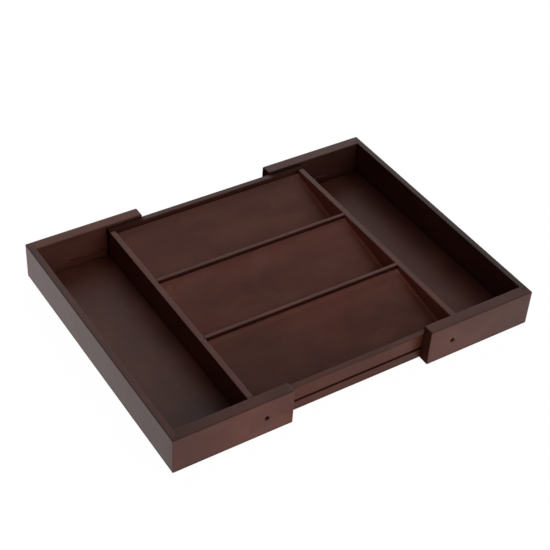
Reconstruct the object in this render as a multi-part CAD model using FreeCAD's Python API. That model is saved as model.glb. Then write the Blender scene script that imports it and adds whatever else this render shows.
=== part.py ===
import FreeCAD, Part
import math
import os

# Expandable drawer insert of stained hardwood: a centre box with three
# tilted tiers between two U-shaped side trays that slide along X over the
# outside of its front and back rails.
# Millimetres, +Z up. Origin at the middle of the underside of the whole
# insert, with both side trays pulled out to their stops.
# X runs along the sliding direction, the front is at -Y.

# ---------------------------------------------------------------- overall
WIDTH = 504.0          # outside width, trays out
DEPTH = 380.0          # front to back
HEIGHT = 51.0          # side tray walls

# ------------------------------------------------------------- side trays
WALL_T = 15.0          # front and back walls
END_T = 8.5            # end walls
WALL_L = 156.0         # length of a front or back wall
RABBET = 8.0           # end wall housed this deep in front and back walls
FLOOR_Z0 = 3.0         # tray floor, raised on a runner
FLOOR_Z1 = 6.6
FLOOR_HOUSED = 4.0     # let into the end wall
FLOOR_IN = 112.0       # |x| of the floor's inner end, trays out
FLOOR_Y = 170.3        # half width of the floor
RUNNER_W = 18.0        # batten under the floor, slides on the drawer bottom
RUNNER_Y = 160.0
TRAVEL = 95.0          # tray stroke, out to in
EDGE_OUT = 1.2         # rounding of the outer edges
EDGE_IN = 0.7          # rounding of the inner edges
NOSE_R = 2.2           # top corner of a wall's free end

# guide strip (tongue) on the inner faces of the tray walls
TONGUE_Z0 = 13.2
TONGUE_Z1 = 16.8
TONGUE_OUT = 2.2       # stands proud of the wall
TONGUE_HOUSED = 4.0    # let into the wall
TONGUE_X0 = 98.0       # |x| of the inner end
TONGUE_X1 = 200.0      # |x| of the outer end
TONGUE_TAPER = 14.0    # outer end runs out into the wall

# stop: screw head in the centre rail runs in a blind slot of the front wall
STOP_X = 131.5
STOP_Z = 24.3
STOP_SLOT = 5.0        # width of the slot and diameter of the access hole
STOP_SLOT_DEEP = 4.2
STOP_MOUTH = 1.2       # countersink of the access hole, depth and extra radius
STOP_HEAD_D = 4.6
STOP_HEAD_L = 3.2
STOP_SHANK_D = 2.6
STOP_SHANK_L = 6.6

# ------------------------------------------------------------- centre box
CENTRE_X = 147.0       # half length of the box
SIDE_GAP = 0.3         # rail outer face to tray wall inner face
BOARD_T = 8.0          # rails and partitions
BOX_TOP = 46.5         # partitions and dividers
BACK_TOP = 48.0        # the back rail stands a little higher
FRONT_TOP = 36.0       # the front rail is lower
BOX_BOTTOM = 7.6       # partitions and dividers clear the sliding floors
LIP_T = 4.0            # rail thickness beside the sliding floors
GROOVE_Z0 = 13.0
GROOVE_Z1 = 17.0
GROOVE_DEEP = 2.8
DIVIDER_T = 5.0
DIVIDER_Y = (55.8, -61.0)
DADO = 3.0             # dividers and panels let into the partitions
PANEL_T = 4.0
PANEL_TOP = 41.2       # upper surface at the far edge of a tier
PANEL_SLOPE = 0.198    # rise over run

# --------------------------------------------------------------- fixings
DOWEL_D = 4.0          # side tray corners
CENTRE_DOWEL_D = 3.0   # centre box corners, beside the panels' housings
CENTRE_DOWEL_X = 144.6

os.makedirs("parts", exist_ok=True)

HALF_W = WIDTH / 2.0
HALF_D = DEPTH / 2.0
INNER_Y = HALF_D - WALL_T
RAIL_OUT = INNER_Y - SIDE_GAP
RAIL_IN = RAIL_OUT - BOARD_T
PART_IN = CENTRE_X - BOARD_T


def box(x0, x1, y0, y1, z0, z1):
    return Part.makeBox(x1 - x0, y1 - y0, z1 - z0, FreeCAD.Vector(x0, y0, z0))


def ease(shape, radius, test):
    """Round the straight edges whose middle passes the test."""
    picked = []
    for edge in shape.Edges:
        try:
            straight = isinstance(edge.Curve, Part.Line)
        except TypeError:
            straight = False
        if not straight:
            continue
        a = edge.Vertexes[0].Point
        b = edge.Vertexes[-1].Point
        d = b.sub(a)
        axis = max(range(3), key=lambda i: abs(d[i]))
        m = (a + b) * 0.5
        if test(m.x, m.y, m.z, axis):
            picked.append(edge)
    if not picked:
        return shape
    return shape.makeFillet(radius, picked)


def near(a, b, tol=0.02):
    return abs(a - b) < tol


def cyl(d, length, x, y, z, axis):
    return Part.makeCylinder(d / 2.0, length, FreeCAD.Vector(x, y, z), FreeCAD.Vector(*axis))


def mirror_x(shape):
    return shape.mirror(FreeCAD.Vector(0, 0, 0), FreeCAD.Vector(1, 0, 0))


def mirror_y(shape):
    return shape.mirror(FreeCAD.Vector(0, 0, 0), FreeCAD.Vector(0, 1, 0))


def prism_x(points, x0, x1):
    """Polygon given as (y, z) pairs, swept along X."""
    vs = [FreeCAD.Vector(x0, y, z) for y, z in points]
    face = Part.Face(Part.makePolygon(vs + [vs[0]]))
    return face.extrude(FreeCAD.Vector(x1 - x0, 0, 0))


def dowel(d, length, x, y, z, axis):
    """Wooden dowel with chamfered ends, first end at x, y, z."""
    body = cyl(d, length, x, y, z, axis)
    rims = [e for e in body.Edges if isinstance(e.Curve, Part.Circle)]
    return body.makeChamfer(0.4, rims)


parts = {}

# ============================================================ left tray
# front wall, housed for the end wall, the guide strip and the stop
xl0 = -HALF_W
xl1 = -HALF_W + WALL_L


def wall_outline():
    """Front view of a side wall, all four corners rounded, as a wire in XZ."""
    corners = [(xl0, 0.0, EDGE_OUT), (xl1, 0.0, EDGE_OUT), (xl1, HEIGHT, NOSE_R), (xl0, HEIGHT, EDGE_OUT)]
    n = len(corners)
    edges = []
    last = None
    first = None
    for i in range(n):
        x, z, r = corners[i]
        px, pz, _ = corners[i - 1]
        qx, qz, _ = corners[(i + 1) % n]
        lp = math.hypot(px - x, pz - z)
        lq = math.hypot(qx - x, qz - z)
        ux, uz = (px - x) / lp, (pz - z) / lp
        vx, vz = (qx - x) / lq, (qz - z) / lq
        a = FreeCAD.Vector(x + ux * r, 0, z + uz * r)
        c = FreeCAD.Vector(x + vx * r, 0, z + vz * r)
        k = 1.0 - math.sqrt(0.5)
        m = FreeCAD.Vector(x + (ux + vx) * r * k, 0, z + (uz + vz) * r * k)
        if last is not None:
            edges.append(Part.makeLine(last, a))
        else:
            first = a
        edges.append(Part.Arc(a, m, c).toShape())
        last = c
    edges.append(Part.makeLine(last, first))
    return Part.Wire(edges)


def side_wall(with_stop):
    outline = wall_outline()
    outline.translate(FreeCAD.Vector(0, -HALF_D, 0))
    w = Part.Face(outline).extrude(FreeCAD.Vector(0, WALL_T, 0))
    for y, r in ((-HALF_D, EDGE_OUT - 0.1), (-INNER_Y, EDGE_IN)):
        rim = [e for e in w.Edges if all(near(v.Point.y, y) for v in e.Vertexes)]
        w = w.makeFillet(r, rim)
    # rabbet for the end wall
    w = w.cut(box(xl0 - 5, xl0 + END_T, -INNER_Y - RABBET, -INNER_Y + 5, -1, HEIGHT + 1))
    # housing for the guide strip
    w = w.cut(box(-TONGUE_X1, -TONGUE_X0, -INNER_Y - TONGUE_HOUSED, -INNER_Y + 1, TONGUE_Z0, TONGUE_Z1))
    if with_stop:
        r = STOP_SLOT / 2.0
        y_in = -INNER_Y - STOP_SLOT_DEEP
        x_far = -STOP_X - TRAVEL
        slot = box(x_far, -STOP_X, y_in, -INNER_Y + 1, STOP_Z - r, STOP_Z + r)
        slot = slot.fuse([cyl(STOP_SLOT, STOP_SLOT_DEEP + 1, -STOP_X, y_in, STOP_Z, (0, 1, 0)),
                          cyl(STOP_SLOT, STOP_SLOT_DEEP + 1, x_far, y_in, STOP_Z, (0, 1, 0)),
                          cyl(STOP_SLOT, WALL_T + 2, -STOP_X, -HALF_D - 1, STOP_Z, (0, 1, 0))])
        w = w.cut(slot.removeSplitter())
        # countersunk mouth of the access hole
        w = w.cut(Part.makeCone(r + STOP_MOUTH, r, STOP_MOUTH, FreeCAD.Vector(-STOP_X, -HALF_D, STOP_Z), FreeCAD.Vector(0, 1, 0)))
    return w


front_wall = side_wall(True)
back_wall = mirror_y(side_wall(False))

end_len = INNER_Y + RABBET
end_wall = box(xl0, xl0 + END_T, -end_len, end_len, 0, HEIGHT)
end_wall = ease(end_wall, EDGE_OUT, lambda x, y, z, a: a == 1 and near(x, xl0))
# the inner top edge is eased between the side walls only, and stays square in its housings
inner = ease(box(xl0, xl0 + END_T, -INNER_Y, INNER_Y, 0, HEIGHT), EDGE_IN,
             lambda x, y, z, a: a == 1 and near(x, xl0 + END_T) and near(z, HEIGHT))
rim = box(xl0 + END_T - 2.0, xl0 + END_T, -INNER_Y, INNER_Y, HEIGHT - 2.0, HEIGHT)
end_wall = end_wall.cut(rim.cut(inner))

floor = box(xl0 + END_T - FLOOR_HOUSED, -FLOOR_IN, -FLOOR_Y, FLOOR_Y, FLOOR_Z0, FLOOR_Z1)
floor = ease(floor, 0.7, lambda x, y, z, a: a == 1 and near(x, -FLOOR_IN))
end_wall = end_wall.cut(box(xl0 + END_T - FLOOR_HOUSED, xl0 + END_T + 1, -FLOOR_Y, FLOOR_Y, FLOOR_Z0, FLOOR_Z1))
runner = box(-FLOOR_IN - 4.0 - RUNNER_W, -FLOOR_IN - 4.0, -RUNNER_Y, RUNNER_Y, 0, FLOOR_Z0)
runner = ease(runner, 0.6, lambda x, y, z, a: a == 1 and near(z, 0))

plan = [(-TONGUE_X1, -INNER_Y - TONGUE_HOUSED), (-TONGUE_X0, -INNER_Y - TONGUE_HOUSED),
        (-TONGUE_X0, -INNER_Y + TONGUE_OUT), (-TONGUE_X1 + TONGUE_TAPER, -INNER_Y + TONGUE_OUT),
        (-TONGUE_X1, -INNER_Y)]
vs = [FreeCAD.Vector(x, y, TONGUE_Z0) for x, y in plan]
guide = Part.Face(Part.makePolygon(vs + [vs[0]])).extrude(FreeCAD.Vector(0, 0, TONGUE_Z1 - TONGUE_Z0))
guide = ease(guide, 0.5, lambda x, y, z, a: near(y, -INNER_Y + TONGUE_OUT) and (a == 0 or near(x, -TONGUE_X0)))
front_guide = guide
back_guide = mirror_y(guide)

# dowels: end wall into front and back walls
corner_z = (12.0, 38.0)
corner_dowels = []
for z in corner_z:
    d = dowel(DOWEL_D, 17.0, xl0 + END_T / 2.0, -end_len - 5.0, z, (0, 1, 0))
    corner_dowels += [d, mirror_y(d)]
    hole = cyl(DOWEL_D, 17.0, xl0 + END_T / 2.0, -end_len - 5.0, z, (0, 1, 0))
    front_wall = front_wall.cut(hole)
    back_wall = back_wall.cut(mirror_y(hole))
    end_wall = end_wall.cut(hole).cut(mirror_y(hole))

for side, fn in (("left", lambda s: s), ("right", mirror_x)):
    parts[side + "_tray_front_wall"] = fn(front_wall)
    parts[side + "_tray_back_wall"] = fn(back_wall)
    parts[side + "_tray_end_wall"] = fn(end_wall)
    parts[side + "_tray_floor"] = fn(floor)
    parts[side + "_tray_front_guide_strip"] = fn(front_guide)
    parts[side + "_tray_back_guide_strip"] = fn(back_guide)
    parts[side + "_tray_corner_dowels"] = Part.makeCompound([fn(d) for d in corner_dowels])
    parts[side + "_tray_floor_runner"] = fn(runner)

# ========================================================== centre box


def rail(top):
    r = box(-CENTRE_X, CENTRE_X, -RAIL_OUT, -RAIL_IN, 0, top)
    r = ease(r, 0.8, lambda x, y, z, a: a == 0 and near(z, top) and near(y, -RAIL_OUT))
    r = ease(r, 0.8, lambda x, y, z, a: (a == 0 and near(z, top) and near(y, -RAIL_IN))
             or (a == 0 and near(z, 0) and near(y, -RAIL_OUT)))
    # rebate that leaves a thin lip beside the sliding floors
    r = r.cut(box(-CENTRE_X - 1, CENTRE_X + 1, -RAIL_OUT + LIP_T, -RAIL_IN + 1, -1, BOX_BOTTOM))
    # guide groove for the strips of the side trays, open at both ends
    r = r.cut(box(-CENTRE_X - 1, CENTRE_X + 1, -RAIL_OUT - 1, -RAIL_OUT + GROOVE_DEEP, GROOVE_Z0, GROOVE_Z1))
    return r


front_rail = rail(FRONT_TOP)
back_rail = mirror_y(rail(BACK_TOP))

partition = box(-CENTRE_X, -PART_IN, -RAIL_OUT, RAIL_IN, BOX_BOTTOM, BOX_TOP)
partition = ease(partition, 0.9, lambda x, y, z, a: a == 1 and near(z, BOX_TOP))
# notched over the low front rail
partition = partition.cut(box(-CENTRE_X - 1, -PART_IN + 1, -RAIL_OUT - 1, -RAIL_IN, 0, FRONT_TOP))

dividers = []
for yc in DIVIDER_Y:
    y0 = yc - DIVIDER_T / 2.0
    y1 = yc + DIVIDER_T / 2.0
    d = box(-PART_IN - DADO, PART_IN + DADO, y0, y1, BOX_BOTTOM, BOX_TOP)
    d = ease(d, 0.9, lambda x, y, z, a: a == 0 and near(z, BOX_TOP))
    # shoulders: the housing in the partition stops short of its top edge
    d = d.cut(box(-PART_IN - DADO - 1, -PART_IN, y0 - 1, y1 + 1, BOX_TOP - 4.0, BOX_TOP + 1))
    d = d.cut(box(PART_IN, PART_IN + DADO + 1, y0 - 1, y1 + 1, BOX_TOP - 4.0, BOX_TOP + 1))
    dividers.append(d)
    partition = partition.cut(box(-PART_IN - DADO, -PART_IN + 1, y0, y1, BOX_BOTTOM - 1, BOX_TOP - 4.0))

# tilted panels: far edge high, near edge low, ends let into the partitions
tiers = ((RAIL_IN, DIVIDER_Y[0] + DIVIDER_T / 2.0, PANEL_TOP - 0.7),
         (DIVIDER_Y[0] - DIVIDER_T / 2.0, DIVIDER_Y[1] + DIVIDER_T / 2.0, PANEL_TOP),
         (DIVIDER_Y[1] - DIVIDER_T / 2.0, -RAIL_IN, PANEL_TOP))
panel_drop = PANEL_T * math.sqrt(1.0 + PANEL_SLOPE ** 2)   # vertical thickness
panels = []
for y_far, y_near, z_far in tiers:
    z_near = z_far - PANEL_SLOPE * (y_far - y_near)
    pts = [(y_far, z_far), (y_far, z_far - panel_drop), (y_near, z_near - panel_drop), (y_near, z_near)]
    panels.append(prism_x(pts, -PART_IN - DADO, PART_IN + DADO))
    partition = partition.cut(prism_x(pts, -PART_IN - DADO, -PART_IN + 1))

left_partition = partition
right_partition = mirror_x(partition)

# dowels: rails into the partition ends
centre_dowels = []
for y_sign, zs in ((-1, (22.0, 31.0)), (1, (23.0, 38.0))):
    for z in zs:
        for x_sign in (-1, 1):
            x = x_sign * CENTRE_DOWEL_X
            y_start = y_sign * (RAIL_IN + 4.5)
            axis = (0, -y_sign, 0)
            centre_dowels.append(dowel(CENTRE_DOWEL_D, 19.0, x, y_start, z, axis))
            hole = cyl(CENTRE_DOWEL_D, 19.0, x, y_start, z, axis)
            if y_sign < 0:
                front_rail = front_rail.cut(hole)
            else:
                back_rail = back_rail.cut(hole)
            if x_sign < 0:
                left_partition = left_partition.cut(hole)
            else:
                right_partition = right_partition.cut(hole)

# stop screws in the front rail
screws = []
for sx in (-1, 1):
    x = sx * STOP_X
    shank = cyl(STOP_SHANK_D, STOP_SHANK_L, x, -RAIL_OUT, STOP_Z, (0, 1, 0))
    head = Part.makeCylinder(STOP_HEAD_D / 2.0, STOP_HEAD_L, FreeCAD.Vector(x, -RAIL_OUT, STOP_Z), FreeCAD.Vector(0, -1, 0))
    rim = [e for e in head.Edges if isinstance(e.Curve, Part.Circle) and near(e.Curve.Center.y, -RAIL_OUT - STOP_HEAD_L)]
    head = head.makeFillet(0.7, rim)
    screw = head.fuse(shank)
    for a in (0, 90):
        slot = Part.makeBox(2.8, 1.0, 0.6, FreeCAD.Vector(-1.4, -0.5, -0.3))
        slot.rotate(FreeCAD.Vector(0, 0, 0), FreeCAD.Vector(0, 1, 0), a)
        slot.translate(FreeCAD.Vector(x, -RAIL_OUT - STOP_HEAD_L + 0.3, STOP_Z))
        screw = screw.cut(slot)
    screws.append(screw.removeSplitter())
    front_rail = front_rail.cut(cyl(STOP_SHANK_D, STOP_SHANK_L, x, -RAIL_OUT, STOP_Z, (0, 1, 0)))

parts["centre_front_rail"] = front_rail
parts["centre_back_rail"] = back_rail
parts["left_partition"] = left_partition
parts["right_partition"] = right_partition
parts["rear_divider"] = dividers[0]
parts["front_divider"] = dividers[1]
parts["rear_tilted_panel"] = panels[0]
parts["middle_tilted_panel"] = panels[1]
parts["front_tilted_panel"] = panels[2]
parts["centre_corner_dowels"] = Part.makeCompound(centre_dowels)
parts["stop_screws"] = Part.makeCompound(screws)

for name, shape in parts.items():
    shape.exportStep("parts/" + name + ".step")
    bb = shape.BoundBox
    print("%-30s solids %2d valid %s  vol %9.1f  box %7.1f %7.1f  %7.1f %7.1f  %5.1f %5.1f" % (
        name, len(shape.Solids), shape.isValid(), shape.Volume,
        bb.XMin, bb.XMax, bb.YMin, bb.YMax, bb.ZMin, bb.ZMax))
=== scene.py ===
import math

import bpy
from mathutils import Matrix, Vector

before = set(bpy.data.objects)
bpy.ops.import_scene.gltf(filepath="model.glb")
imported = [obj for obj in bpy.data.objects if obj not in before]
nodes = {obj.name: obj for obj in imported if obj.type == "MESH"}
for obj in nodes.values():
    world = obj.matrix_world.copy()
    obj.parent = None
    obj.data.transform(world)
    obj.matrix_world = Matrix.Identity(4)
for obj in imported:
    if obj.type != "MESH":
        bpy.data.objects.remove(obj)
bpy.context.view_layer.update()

scene = bpy.context.scene

scene.view_settings.view_transform = "Standard"
scene.view_settings.look = "None"
scene.view_settings.exposure = 0.0
scene.view_settings.gamma = 1.0

# ------------------------------------------------------------------ camera
cam_data = bpy.data.cameras.new("camera")
cam_data.sensor_fit = "HORIZONTAL"
cam_data.sensor_width = 36.0
cam_data.lens = 86.93
cam_data.clip_start = 0.05
cam_data.clip_end = 50.0
cam = bpy.data.objects.new("camera", cam_data)
scene.collection.objects.link(cam)
cam.matrix_world = Matrix((
    (0.8450837, 0.3115516, -0.4344758, -0.71926),
    (-0.5321371, 0.5686122, -0.627304, -1.03453),
    (0.0516107, 0.761325, 0.646313, 1.10645),
    (0.0, 0.0, 0.0, 1.0),
))
scene.camera = cam

# --------------------------------------------------------------- node helper
class Nodes:
    """Small helper for building a node tree."""

    def __init__(self, tree):
        self.t = tree

    def set(self, sock, v):
        if isinstance(v, bpy.types.NodeSocket):
            self.t.links.new(v, sock)
        else:
            sock.default_value = v

    def math(self, op, a, b=None, c=None, clamp=False):
        n = self.t.nodes.new("ShaderNodeMath")
        n.operation = op
        n.use_clamp = clamp
        for i, v in enumerate((a, b, c)):
            if v is not None:
                self.set(n.inputs[i], v)
        return n.outputs[0]

    def noise(self, vector, scale, detail=3.0, rough=0.55, distortion=0.0):
        n = self.t.nodes.new("ShaderNodeTexNoise")
        self.set(n.inputs["Vector"], vector)
        n.inputs["Scale"].default_value = scale
        n.inputs["Detail"].default_value = detail
        n.inputs["Roughness"].default_value = rough
        n.inputs["Distortion"].default_value = distortion
        return n.outputs["Fac"]

    def remap(self, v, a, b, c=0.0, d=1.0, smooth=False):
        n = self.t.nodes.new("ShaderNodeMapRange")
        if smooth:
            n.interpolation_type = "SMOOTHSTEP"
        self.set(n.inputs["Value"], v)
        n.inputs["From Min"].default_value = a
        n.inputs["From Max"].default_value = b
        n.inputs["To Min"].default_value = c
        n.inputs["To Max"].default_value = d
        return n.outputs["Result"]

    def mix(self, fac, a, b, blend="MIX"):
        n = self.t.nodes.new("ShaderNodeMix")
        n.data_type = "RGBA"
        n.blend_type = blend
        self.set(n.inputs[0], fac)
        self.set(n.inputs[6], a)
        self.set(n.inputs[7], b)
        return n.outputs[2]

    def scale(self, color, f):
        n = self.t.nodes.new("ShaderNodeVectorMath")
        n.operation = "SCALE"
        self.set(n.inputs[0], color)
        self.set(n.inputs["Scale"], f)
        return n.outputs[0]

    def lerp(self, fac, a, b):
        n = self.t.nodes.new("ShaderNodeMix")
        n.data_type = "FLOAT"
        self.set(n.inputs[0], fac)
        self.set(n.inputs[2], a)
        self.set(n.inputs[3], b)
        return n.outputs[0]


# ------------------------------------------------------------------ lights
# A soft studio dome: one broad window-like screen at the back right, a paler
# one overhead in front, dim on the left. Each ring gives the luminance around
# the horizon at one elevation, as azimuth: level (0 is +X, 90 is +Y).
FRONT_LOW = {-157.5: 0.00, -112.5: 0.20, -67.5: 0.32, -22.5: 0.52}
FRONT_HIGH = {-157.5: 0.00, -112.5: 0.48, -67.5: 0.76, -22.5: 0.57}
RINGS = (
    (7.5, {-157.5: 0.00, -112.5: 0.02, -67.5: 0.10, -22.5: 0.46, 22.5: 0.58, 67.5: 0.78, 112.5: 0.02, 157.5: 0.00}),
    (20.0, {**FRONT_LOW, 10: 0.20, 30: 0.54, 50: 1.18, 70: 0.92, 90: 1.36, 110: 0.04, 130: 0.00, 157.5: 0.00}),
    (30.0, {**FRONT_LOW, 10: 0.06, 30: 0.41, 50: 0.76, 70: 0.40, 90: 1.14, 110: 0.03, 130: 0.00, 157.5: 0.00}),
    (40.0, {**FRONT_HIGH, 10: 0.03, 30: 0.22, 50: 0.55, 70: 0.26, 90: 0.84, 110: 0.05, 130: 0.01, 157.5: 0.00}),
    (50.0, {**FRONT_HIGH, 10: 0.05, 30: 0.10, 50: 0.46, 70: 0.48, 90: 0.53, 110: 0.20, 130: 0.04, 157.5: 0.00}),
    (60.0, {-157.5: 0.05, -112.5: 0.10, -67.5: 0.12, -22.5: 0.12, 10: 0.08, 30: 0.10, 50: 0.28, 70: 0.46, 90: 0.46,
            110: 0.28, 130: 0.15, 157.5: 0.06}),
)
ZENITH = 0.08

world = bpy.data.worlds.new("studio")
world.use_nodes = True
scene.world = world
wt = world.node_tree
wt.nodes.clear()
wg = Nodes(wt)
w_out = wt.nodes.new("ShaderNodeOutputWorld")
w_bg = wt.nodes.new("ShaderNodeBackground")
w_bg.inputs["Color"].default_value = (1.0, 1.0, 1.0, 1.0)
wt.links.new(w_bg.outputs[0], w_out.inputs["Surface"])
w_sep = wt.nodes.new("ShaderNodeSeparateXYZ")
wt.links.new(wt.nodes.new("ShaderNodeTexCoord").outputs["Generated"], w_sep.inputs[0])
elev = wg.math("MULTIPLY", wg.math("ARCSINE", w_sep.outputs[2]), 180.0 / math.pi)
azim = wg.math("DIVIDE", wg.math("ARCTAN2", w_sep.outputs[1], w_sep.outputs[0]), 2.0 * math.pi)
turn = wg.math("FRACT", wg.math("ADD", azim, 1.0))          # 0 at +X, 0.25 at +Y


def ring(levels):
    """Smooth ring of luminance around the horizon."""
    node = wt.nodes.new("ShaderNodeValToRGB")
    cr = node.color_ramp
    cr.interpolation = "LINEAR"
    stops = sorted((((az / 360.0) % 1.0), v) for az, v in levels.items())
    (p0, v0), (p1, v1) = stops[0], stops[-1]
    seam = v1 + (v0 - v1) * (1.0 - p1) / (1.0 - p1 + p0)
    stops = [(0.0, seam)] + stops + [(1.0, seam)]
    while len(cr.elements) < len(stops):
        cr.elements.new(0.5)
    for e, (pos, v) in zip(cr.elements, stops):
        e.position = pos
        u = v / 2.0
        e.color = (u, u, u, 1.0)
    wt.links.new(turn, node.inputs["Fac"])
    return wg.math("MULTIPLY", node.outputs["Color"], 2.0)


sky = ring(RINGS[0][1])
for (e0, _), (e1, levels) in zip(RINGS[:-1], RINGS[1:]):
    sky = wg.lerp(wg.remap(elev, e0, e1, smooth=True), sky, ring(levels))
sky = wg.lerp(wg.remap(elev, 60.0, 74.0, smooth=True), sky, ZENITH)
w_path = wt.nodes.new("ShaderNodeLightPath")
wg.set(w_bg.inputs["Strength"], wg.lerp(w_path.outputs["Is Camera Ray"], sky, 0.98))

# ------------------------------------------------------------------- floor
BOUNCE_LEFT = (0.53, 0.69)      # front to back
BOUNCE_FRONT = (0.42, 0.54)     # left to right
BOUNCE_BACK = 0.07

fm = bpy.data.meshes.new("studio_floor")
F = 6.0
fm.from_pydata([(-F, -F, -0.0006), (F, -F, -0.0006), (F, F, -0.0006), (-F, F, -0.0006)], [], [(0, 1, 2, 3)])
floor = bpy.data.objects.new("studio_floor", fm)
scene.collection.objects.link(floor)
fmat = bpy.data.materials.new("studio_floor")
fmat.use_nodes = True
ft = fmat.node_tree
ft.nodes.clear()
fg = Nodes(ft)
f_out = ft.nodes.new("ShaderNodeOutputMaterial")
f_dif = ft.nodes.new("ShaderNodeBsdfDiffuse")
f_dif.inputs["Color"].default_value = (0.10, 0.10, 0.10, 1.0)
f_white = ft.nodes.new("ShaderNodeEmission")
f_white.inputs["Strength"].default_value = 0.98
f_glow = ft.nodes.new("ShaderNodeEmission")
f_seen = ft.nodes.new("ShaderNodeAddShader")
f_mix = ft.nodes.new("ShaderNodeMixShader")
f_path = ft.nodes.new("ShaderNodeLightPath")
ft.links.new(f_dif.outputs[0], f_seen.inputs[0])
ft.links.new(f_white.outputs[0], f_seen.inputs[1])
ft.links.new(f_path.outputs["Is Camera Ray"], f_mix.inputs["Fac"])
ft.links.new(f_glow.outputs[0], f_mix.inputs[1])
ft.links.new(f_seen.outputs[0], f_mix.inputs[2])
ft.links.new(f_mix.outputs[0], f_out.inputs["Surface"])
f_sep = ft.nodes.new("ShaderNodeSeparateXYZ")
ft.links.new(ft.nodes.new("ShaderNodeTexCoord").outputs["Object"], f_sep.inputs[0])
fx, fy = f_sep.outputs[0], f_sep.outputs[1]
# bounce light off the floor: strongest close in on the left, weaker in front,
# little at the back and right, none under the insert
to_left = fg.math("SUBTRACT", -0.252, fx)
to_front = fg.math("SUBTRACT", -0.190, fy)
level_l = fg.remap(fy, -0.19, 0.19, BOUNCE_LEFT[0], BOUNCE_LEFT[1])
level_f = fg.remap(fx, -0.25, 0.25, BOUNCE_FRONT[0], BOUNCE_FRONT[1])
level = fg.lerp(fg.remap(fg.math("SUBTRACT", to_front, to_left), -0.03, 0.03, smooth=True), level_l, level_f)
reach = fg.math("MAXIMUM", to_left, to_front)
level = fg.math("MULTIPLY", level, fg.remap(reach, 0.10, 0.24, 1.0, 0.34, smooth=True))
ax = fg.math("ABSOLUTE", fx)
# the tray walls shade the floor in the bay before the low front rail
bay = fg.math("MULTIPLY", fg.remap(ax, 0.085, 0.110, 1.0, 0.0, smooth=True), fg.remap(fy, -0.240, -0.195, 0.0, 1.0, smooth=True))
level = fg.math("MULTIPLY", level, fg.math("SUBTRACT", 1.0, fg.math("MULTIPLY", bay, 0.38)))
recess = fg.math("MULTIPLY", fg.math("LESS_THAN", ax, 0.0965), fg.math("LESS_THAN", fy, -0.1755))
inside = fg.math("MULTIPLY", fg.math("LESS_THAN", ax, 0.2515), fg.math("LESS_THAN", fg.math("ABSOLUTE", fy), 0.1895))
inside = fg.math("MULTIPLY", inside, fg.math("SUBTRACT", 1.0, recess))
lit = fg.math("MAXIMUM", fg.math("GREATER_THAN", reach, 0.0), recess)
glow = fg.lerp(lit, BOUNCE_BACK, level)
glow = fg.math("MULTIPLY", glow, fg.math("SUBTRACT", 1.0, inside))
fg.set(f_glow.inputs["Strength"], glow)
fm.materials.append(fmat)


# --------------------------------------------------------------- materials
def principled(name):
    m = bpy.data.materials.new(name)
    m.use_nodes = True
    t = m.node_tree
    t.nodes.clear()
    out = t.nodes.new("ShaderNodeOutputMaterial")
    bsdf = t.nodes.new("ShaderNodeBsdfPrincipled")
    t.links.new(bsdf.outputs[0], out.inputs["Surface"])
    return m, t, Nodes(t), bsdf


def edge_mask(t, g, radius, lo, hi):
    """1 along convex and concave edges, 0 on flats; also the rounded normal."""
    bev = t.nodes.new("ShaderNodeBevel")
    bev.samples = 2
    bev.inputs["Radius"].default_value = radius
    geo = t.nodes.new("ShaderNodeNewGeometry")
    dot = t.nodes.new("ShaderNodeVectorMath")
    dot.operation = "DOT_PRODUCT"
    t.links.new(bev.outputs[0], dot.inputs[0])
    t.links.new(geo.outputs["Normal"], dot.inputs[1])
    return g.remap(dot.outputs["Value"], lo, hi, 0.0, 1.0), bev.outputs[0]


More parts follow.
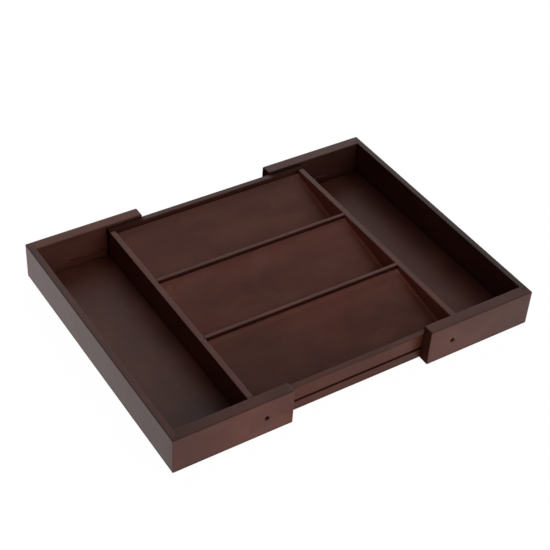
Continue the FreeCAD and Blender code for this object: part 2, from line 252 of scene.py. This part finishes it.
def stained_wood(name, grain, seed, tone=1.0, joint_stain_and_shade=0.5, painted_face_light=(), painted_light_drifts=(), painted_shadow_span=None):
    """Dark stained, satin varnished solid wood. grain is the axis the fibres run along.

    painted_face_light: (face, painted light, gloss, painted sheen) for faces painted lighter or darker as light falls
    on them, with a painted grey sheen, face being "+Z", "-Y" and so on.
    painted_light_drifts: (axis, from, to, painted light at from, painted light at to, painted sheen at to) for a board
    painted lighter or darker along an axis as light falls on it.
    painted_shadow_span: (from, to) distance from the middle over which the top is painted dark and matt, a painted
    shadow.
    """
    m, t, g, bsdf = principled(name)
    coord = t.nodes.new("ShaderNodeTexCoord")
    here = coord.outputs["Object"]
    mapping = t.nodes.new("ShaderNodeMapping")
    mapping.inputs["Location"].default_value = (seed * 1.37, seed * 0.71, seed * 2.11)
    mapping.inputs["Scale"].default_value = {"X": (0.045, 1.0, 1.0), "Y": (1.0, 0.045, 1.0), "Z": (1.0, 1.0, 0.045)}[grain]
    t.links.new(here, mapping.inputs["Vector"])
    p = mapping.outputs["Vector"]
    drift = t.nodes.new("ShaderNodeMapping")
    drift.inputs["Location"].default_value = (seed * 0.53, seed * 1.91, seed * 0.37)
    drift.inputs["Scale"].default_value = {"X": (0.7, 1.0, 1.0), "Y": (1.0, 0.7, 1.0), "Z": (1.0, 1.0, 0.7)}[grain]
    t.links.new(here, drift.inputs["Vector"])
    q = drift.outputs["Vector"]

    # growth figure: broad bands that wander along the board, then fibres and pores
    broad = g.noise(p, 34.0, 2.0, 0.5, 0.6)
    bands = g.noise(p, 150.0, 3.0, 0.6, 0.9)
    fibre = g.noise(p, 900.0, 4.0, 0.65, 0.2)
    pores = g.noise(p, 2300.0, 2.0, 0.7, 0.0)
    cloud = g.noise(q, 22.0, 3.0, 0.55, 0.3)          # blotches where the stain took unevenly
    warm = g.noise(q, 31.0, 2.0, 0.5, 0.2)            # and redder or browner patches

    def stain(r, warmth=0.0):
        return (r * tone, r * (0.250 + 0.02 * warmth) * tone, r * (0.146 + 0.01 * warmth) * tone, 1.0)

    fig = g.math("ADD", g.math("MULTIPLY", broad, 0.6), g.math("MULTIPLY", bands, 0.4))
    c = g.mix(g.remap(fig, 0.32, 0.68, 0.0, 1.0, True), stain(0.153), stain(0.180, 1))
    c = g.mix(g.math("MULTIPLY", g.remap(cloud, 0.42, 0.64, 0.0, 1.0, True), 0.70), c, stain(0.232, 2))
    c = g.mix(g.math("MULTIPLY", g.remap(cloud, 0.46, 0.30, 0.0, 1.0, True), 0.45), c, stain(0.115))
    c = g.mix(g.remap(warm, 0.40, 0.62, 0.0, 0.55, True), c, (0.176 * tone, 0.037 * tone, 0.0215 * tone, 1.0))
    c = g.mix(g.remap(fibre, 0.35, 0.65, 0.18, 0.0), c, stain(0.085))
    dark = g.remap(pores, 0.62, 0.74, 0.0, 0.30)
    c = g.mix(dark, c, stain(0.045))

    # end grain drinks more stain and stays matt; filled and sanded at the outer corners
    n_sep = t.nodes.new("ShaderNodeSeparateXYZ")
    t.links.new(coord.outputs["Normal"], n_sep.inputs[0])
    along = g.math("ABSOLUTE", n_sep.outputs["XYZ".index(grain)])
    end = g.remap(along, 0.55, 0.95, 0.0, 1.0, smooth=True)
    if grain == "X":
        place = t.nodes.new("ShaderNodeSeparateXYZ")
        t.links.new(here, place.inputs[0])
        end = g.math("MULTIPLY", end, g.remap(g.math("ABSOLUTE", place.outputs[0]), 0.16, 0.24, 1.0, 0.12))
    c = g.mix(g.math("MULTIPLY", end, 0.72), c, stain(0.048))

    # painted light and shade: the colour is scaled lighter or darker along the board, with a painted grey sheen, and
    # per face below
    spot = t.nodes.new("ShaderNodeSeparateXYZ")
    t.links.new(here, spot.inputs[0])
    for axis, p0, p1, f0, f1, painted_sheen in painted_light_drifts:
        f = g.remap(spot.outputs["XYZ".index(axis)], p0, p1, 0.0, 1.0, True)
        c = g.scale(c, g.lerp(f, f0, f1))
        if painted_sheen:
            c = g.mix(1.0, c, g.scale((painted_sheen * 0.85, painted_sheen, painted_sheen), f), "ADD")
    gloss = None
    # painted light and shade per face: some faces scaled lighter or darker as light falls on them, plus a painted grey
    # sheen
    for face, painted_light_there, gloss_there, painted_sheen in painted_face_light:
        n_out = n_sep.outputs["XYZ".index(face[1])]
        on = g.remap(n_out, 0.5, 0.9, 0.0, 1.0, True) if face[0] == "+" else g.remap(n_out, -0.5, -0.9, 0.0, 1.0, True)
        there = g.scale(c, painted_light_there)
        there = g.mix(1.0, there, (painted_sheen * 0.85, painted_sheen, painted_sheen, 1.0), "ADD")
        c = g.mix(on, c, there)
        this = g.lerp(on, 1.0, gloss_there)
        gloss = this if gloss is None else g.math("MULTIPLY", gloss, this)
    # painted shadow: the top is painted dark and matt beyond this distance from the middle
    if painted_shadow_span:
        wall_shadow = g.remap(g.math("ABSOLUTE", spot.outputs[0]), painted_shadow_span[0], painted_shadow_span[1], 0.0, 1.0, True)
        wall_shadow = g.math("MULTIPLY", wall_shadow, g.remap(n_sep.outputs[2], 0.3, 0.8, 0.0, 1.0, True))
        c = g.mix(wall_shadow, c, stain(0.070))
        gloss = g.lerp(wall_shadow, 1.0 if gloss is None else gloss, 0.15)

    # corners and joints: painted shade where light is blocked, over a darker, matt line of pooled stain and dust
    ao = t.nodes.new("ShaderNodeAmbientOcclusion")
    ao.samples = 3
    ao.only_local = False
    ao.inputs["Distance"].default_value = 0.0075
    joint_stain_and_shade_mask = g.remap(ao.outputs["AO"], 0.38, 0.93, 1.0, 0.0)
    joint_stain_and_shade_mask = g.math("MULTIPLY", g.math("POWER", joint_stain_and_shade_mask, 1.3), joint_stain_and_shade, clamp=True)
    c = g.mix(joint_stain_and_shade_mask, c, stain(0.022))

    # faintly paler where the stain is rubbed thin along the arrises
    edge, soft = edge_mask(t, g, 0.0009, 0.995, 0.80)
    rub = g.noise(here, 60.0, 3.0, 0.6)
    edge = g.math("MULTIPLY", edge, g.remap(rub, 0.44, 0.68, 0.0, 0.30))
    c = g.mix(edge, c, (0.27 * tone, 0.095 * tone, 0.062 * tone, 1.0))
    g.set(bsdf.inputs["Base Color"], c)

    r = g.math("ADD", 0.40, g.math("MULTIPLY", g.math("SUBTRACT", fibre, 0.5), 0.14))
    r = g.math("ADD", r, g.math("MULTIPLY", g.math("SUBTRACT", cloud, 0.5), 0.16))
    matt = g.math("MAXIMUM", end, joint_stain_and_shade_mask)
    g.set(bsdf.inputs["Roughness"], g.math("ADD", r, g.math("MULTIPLY", matt, 0.35)))
    bsdf.inputs["IOR"].default_value = 1.5
    spec = g.math("MULTIPLY", g.math("SUBTRACT", 1.0, g.math("MULTIPLY", matt, 0.75)), 0.5)
    coat = g.math("MULTIPLY", g.math("SUBTRACT", 1.0, matt), 0.25)
    if gloss is not None:
        spec, coat = g.math("MULTIPLY", spec, gloss), g.math("MULTIPLY", coat, gloss)
    g.set(bsdf.inputs["Specular IOR Level"], spec)
    g.set(bsdf.inputs["Coat Weight"], coat)
    bsdf.inputs["Coat Roughness"].default_value = 0.28

    h = g.math("ADD", g.math("MULTIPLY", fibre, 0.6), g.math("MULTIPLY", bands, 0.9))
    h = g.math("SUBTRACT", h, g.math("MULTIPLY", dark, 0.5))
    bump = t.nodes.new("ShaderNodeBump")
    bump.inputs["Strength"].default_value = 0.35
    bump.inputs["Distance"].default_value = 0.00012
    g.set(bump.inputs["Height"], h)
    t.links.new(soft, bump.inputs["Normal"])
    t.links.new(bump.outputs[0], bsdf.inputs["Normal"])
    t.links.new(bump.outputs[0], bsdf.inputs["Coat Normal"])
    return m


def plain_beech(name, seed):
    """Unfinished beech dowel, fibres along Y, short dark flecks."""
    m, t, g, bsdf = principled(name)
    here = t.nodes.new("ShaderNodeTexCoord").outputs["Object"]
    mapping = t.nodes.new("ShaderNodeMapping")
    mapping.inputs["Location"].default_value = (seed, seed * 0.7, seed * 1.3)
    mapping.inputs["Scale"].default_value = (1.0, 0.08, 1.0)
    t.links.new(here, mapping.inputs["Vector"])
    p = mapping.outputs["Vector"]
    fibre = g.noise(p, 1400.0, 4.0, 0.65, 0.2)
    flecks = g.noise(p, 3200.0, 2.0, 0.6, 0.0)
    cloud = g.noise(here, 90.0, 2.0, 0.5)
    c = g.mix(g.remap(fibre, 0.35, 0.65), (0.40, 0.245, 0.130, 1.0), (0.62, 0.43, 0.255, 1.0))
    c = g.mix(g.remap(cloud, 0.35, 0.65, 0.0, 0.35), c, (0.56, 0.34, 0.18, 1.0))
    c = g.mix(g.remap(flecks, 0.62, 0.72, 0.0, 0.6), c, (0.22, 0.11, 0.05, 1.0))
    edge, soft = edge_mask(t, g, 0.0003, 0.995, 0.80)
    c = g.mix(g.math("MULTIPLY", edge, 0.4), c, (0.66, 0.50, 0.33, 1.0))
    g.set(bsdf.inputs["Base Color"], c)
    g.set(bsdf.inputs["Roughness"], g.remap(fibre, 0.3, 0.7, 0.58, 0.74))
    bump = t.nodes.new("ShaderNodeBump")
    bump.inputs["Strength"].default_value = 0.5
    bump.inputs["Distance"].default_value = 0.00008
    g.set(bump.inputs["Height"], fibre)
    t.links.new(soft, bump.inputs["Normal"])
    t.links.new(bump.outputs[0], bsdf.inputs["Normal"])
    return m


def dull_zinc(name, seed):
    """Zinc plated screw gone dull, with fine scratches and brighter rubbed rims."""
    m, t, g, bsdf = principled(name)
    here = t.nodes.new("ShaderNodeTexCoord").outputs["Object"]
    mapping = t.nodes.new("ShaderNodeMapping")
    mapping.inputs["Location"].default_value = (seed, seed * 0.6, seed * 1.9)
    mapping.inputs["Scale"].default_value = (1.0, 1.0, 0.12)
    t.links.new(here, mapping.inputs["Vector"])
    scratch = g.noise(mapping.outputs["Vector"], 4200.0, 3.0, 0.7, 0.1)
    bloom = g.noise(here, 700.0, 4.0, 0.6, 0.4)
    c = g.mix(g.remap(bloom, 0.35, 0.68), (0.20, 0.19, 0.175, 1.0), (0.40, 0.39, 0.36, 1.0))
    edge, soft = edge_mask(t, g, 0.0002, 0.99, 0.75)
    c = g.mix(g.math("MULTIPLY", edge, 0.5), c, (0.60, 0.59, 0.56, 1.0))
    g.set(bsdf.inputs["Base Color"], c)
    bsdf.inputs["Metallic"].default_value = 0.92
    r = g.math("ADD", g.remap(bloom, 0.3, 0.7, 0.58, 0.40), g.math("MULTIPLY", g.math("SUBTRACT", scratch, 0.5), 0.2))
    g.set(bsdf.inputs["Roughness"], r)
    bump = t.nodes.new("ShaderNodeBump")
    bump.inputs["Strength"].default_value = 0.3
    bump.inputs["Distance"].default_value = 0.00003
    g.set(bump.inputs["Height"], g.math("ADD", scratch, bloom))
    t.links.new(soft, bump.inputs["Normal"])
    t.links.new(bump.outputs[0], bsdf.inputs["Normal"])
    return m


def set_material(node, mat):
    me = nodes[node].data
    if me.materials:
        for i in range(len(me.materials)):
            me.materials[i] = mat
    else:
        me.materials.append(mat)


# each board: node, grain axis, tone (its stain, with painted light and shade folded in), dark joints (with painted
# corner shade), and what differs on it (painted light and shade)
PAINTED_HIGHLIGHT_LINE = ("X", 0.1335, 0.1365, 1.0, 2.1, 0.02)      # painted highlight: a paler, greyer line where the panels meet the right partition
BOARDS = (
    ("left_tray_front_wall", "X", 1.20, 0.5, {"painted_face_light": (("+Z", 0.55, 0.86, 0.0),), "painted_light_drifts": (("X", -0.23, -0.13, 1.08, 1.32, 0.0),)}),
    ("left_tray_back_wall", "X", 1.36, 0.0, {"painted_face_light": (("-Y", 1.0, 1.2, 0.034),)}),
    ("left_tray_end_wall", "Y", 0.80, 0.5, {}),
    ("left_tray_floor", "Y", 0.95, 0.6, {"painted_face_light": (("+Z", 1.0, 0.91, 0.0),), "painted_light_drifts": (("Y", -0.14, -0.04, 0.55, 1.0, 0.0),)}),
    ("left_tray_front_guide_strip", "X", 1.15, 0.3, {}),
    ("left_tray_back_guide_strip", "X", 1.30, 0.2, {}),
    ("left_tray_floor_runner", "Y", 1.00, 0.5, {}),
    ("right_tray_front_wall", "X", 1.14, 0.5, {"painted_face_light": (("+Z", 0.85, 0.92, 0.0), ("-Y", 1.0, 0.91, 0.0)), "painted_light_drifts": (("X", 0.12, 0.22, 1.10, 0.88, 0.0),)}),
    ("right_tray_back_wall", "X", 0.84, 0.6, {"painted_face_light": (("-Y", 0.72, 1.1, 0.014),)}),
    ("right_tray_end_wall", "Y", 0.66, 0.7, {"painted_face_light": (("+Z", 0.60, 1.0, 0.0), ("-X", 0.86, 1.0, 0.008))}),
    ("right_tray_floor", "Y", 0.84, 0.35, {"painted_face_light": (("+Z", 1.0, 0.84, 0.0),), "painted_light_drifts": (("X", 0.200, 0.235, 1.0, 0.70, 0.0),)}),
    ("right_tray_front_guide_strip", "X", 1.00, 0.4, {}),
    ("right_tray_back_guide_strip", "X", 0.80, 0.4, {}),
    ("right_tray_floor_runner", "Y", 1.00, 0.5, {}),
    ("centre_front_rail", "X", 1.06, 0.3, {"painted_face_light": (("-Y", 1.27, 1.0, 0.0), ("+Z", 0.92, 0.81, 0.0))}),
    ("centre_back_rail", "X", 0.80, 1.4, {"painted_shadow_span": (0.093, 0.102)}),
    ("left_partition", "Y", 1.14, 0.7, {"painted_face_light": (("-X", 0.72, 0.3, 0.0),)}),
    ("right_partition", "Y", 1.24, 0.1, {"painted_face_light": (("-X", 1.75, 1.0, 0.03), ("+Z", 0.88, 0.98, 0.0))}),
    ("rear_divider", "X", 1.08, 1.8, {"painted_face_light": (("-Y", 0.60, 0.7, 0.0), ("+Z", 1.0, 0.9, 0.0))}),
    ("front_divider", "X", 1.22, 2.0, {"painted_face_light": (("-Y", 0.50, 0.6, 0.0),)}),
    ("rear_tilted_panel", "X", 1.18, 0.25, {"painted_light_drifts": (("Y", 0.158, 0.1685, 1.0, 1.5, 0.09), PAINTED_HIGHLIGHT_LINE)}),
    ("middle_tilted_panel", "X", 1.20, 0.25, {"painted_light_drifts": (("Y", 0.010, 0.045, 1.0, 1.3, 0.0), ("Y", 0.047, 0.0545, 1.0, 1.4, 0.06), PAINTED_HIGHLIGHT_LINE)}),
    ("front_tilted_panel", "X", 1.01, 0.25, {"painted_light_drifts": (("X", -0.10, 0.03, 0.74, 1.0, 0.0), ("Y", -0.115, -0.075, 1.0, 1.45, 0.0),
                                             ("Y", -0.074, -0.0635, 1.0, 1.7, 0.04), PAINTED_HIGHLIGHT_LINE)}),
)
TONE = 1.08
for i, (name, axis, tone, joint_stain_and_shade, more) in enumerate(BOARDS):
    set_material(name, stained_wood("stain_" + name, axis, 3.0 + i * 1.7, TONE * tone, joint_stain_and_shade, **more))

for i, name in enumerate(("centre_corner_dowels", "left_tray_corner_dowels", "right_tray_corner_dowels")):
    set_material(name, plain_beech("beech_" + name, 1.0 + i * 2.3))
set_material("stop_screws", dull_zinc("zinc_stop_screws", 4.0))
